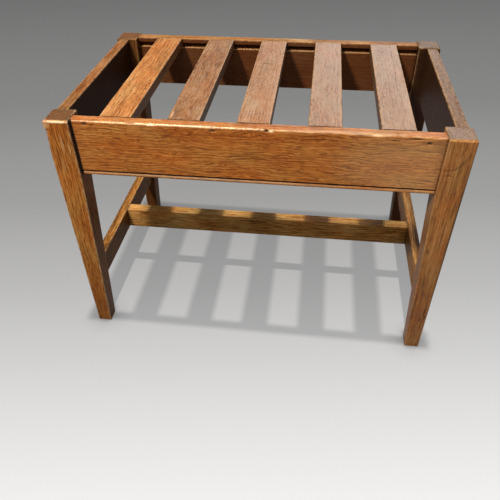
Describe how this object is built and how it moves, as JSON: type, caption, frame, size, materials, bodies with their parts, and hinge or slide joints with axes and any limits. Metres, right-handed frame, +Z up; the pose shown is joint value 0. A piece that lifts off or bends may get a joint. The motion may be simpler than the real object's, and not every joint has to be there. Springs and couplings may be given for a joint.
{
  "type": "luggage rack",
  "caption": "Rigid oak luggage rack with tapered legs, deep beaded rails, flat slats running front to back and an H stretcher; holds a suitcase off the floor.",
  "frame": {"origin": "on the floor, under the middle of the rack", "axes": "+X along the long rails to the right, +Y from the front to the back, +Z up"},
  "size_m": [0.66, 0.415, 0.458],
  "materials": {
    "oak_leg": "waxed, worn at the arrises",
    "oak_rail": "waxed, worn at the arrises",
    "oak_slat": "worn, dry, with scratches",
    "oak_stretcher": "waxed, scuffed on top"
  },
  "bodies": {
    "root": {"leg_front_left": "oak_leg", "leg_front_right": "oak_leg", "leg_back_left": "oak_leg", "leg_back_right": "oak_leg", "front_rail": "oak_rail", "back_rail": "oak_rail", "left_rail": "oak_rail", "right_rail": "oak_rail", "slat_1": "oak_slat", "slat_2": "oak_slat", "slat_3": "oak_slat", "slat_4": "oak_slat", "slat_5": "oak_slat", "left_stretcher": "oak_stretcher", "right_stretcher": "oak_stretcher", "centre_stretcher": "oak_stretcher"}
  },
  "joints": []
}
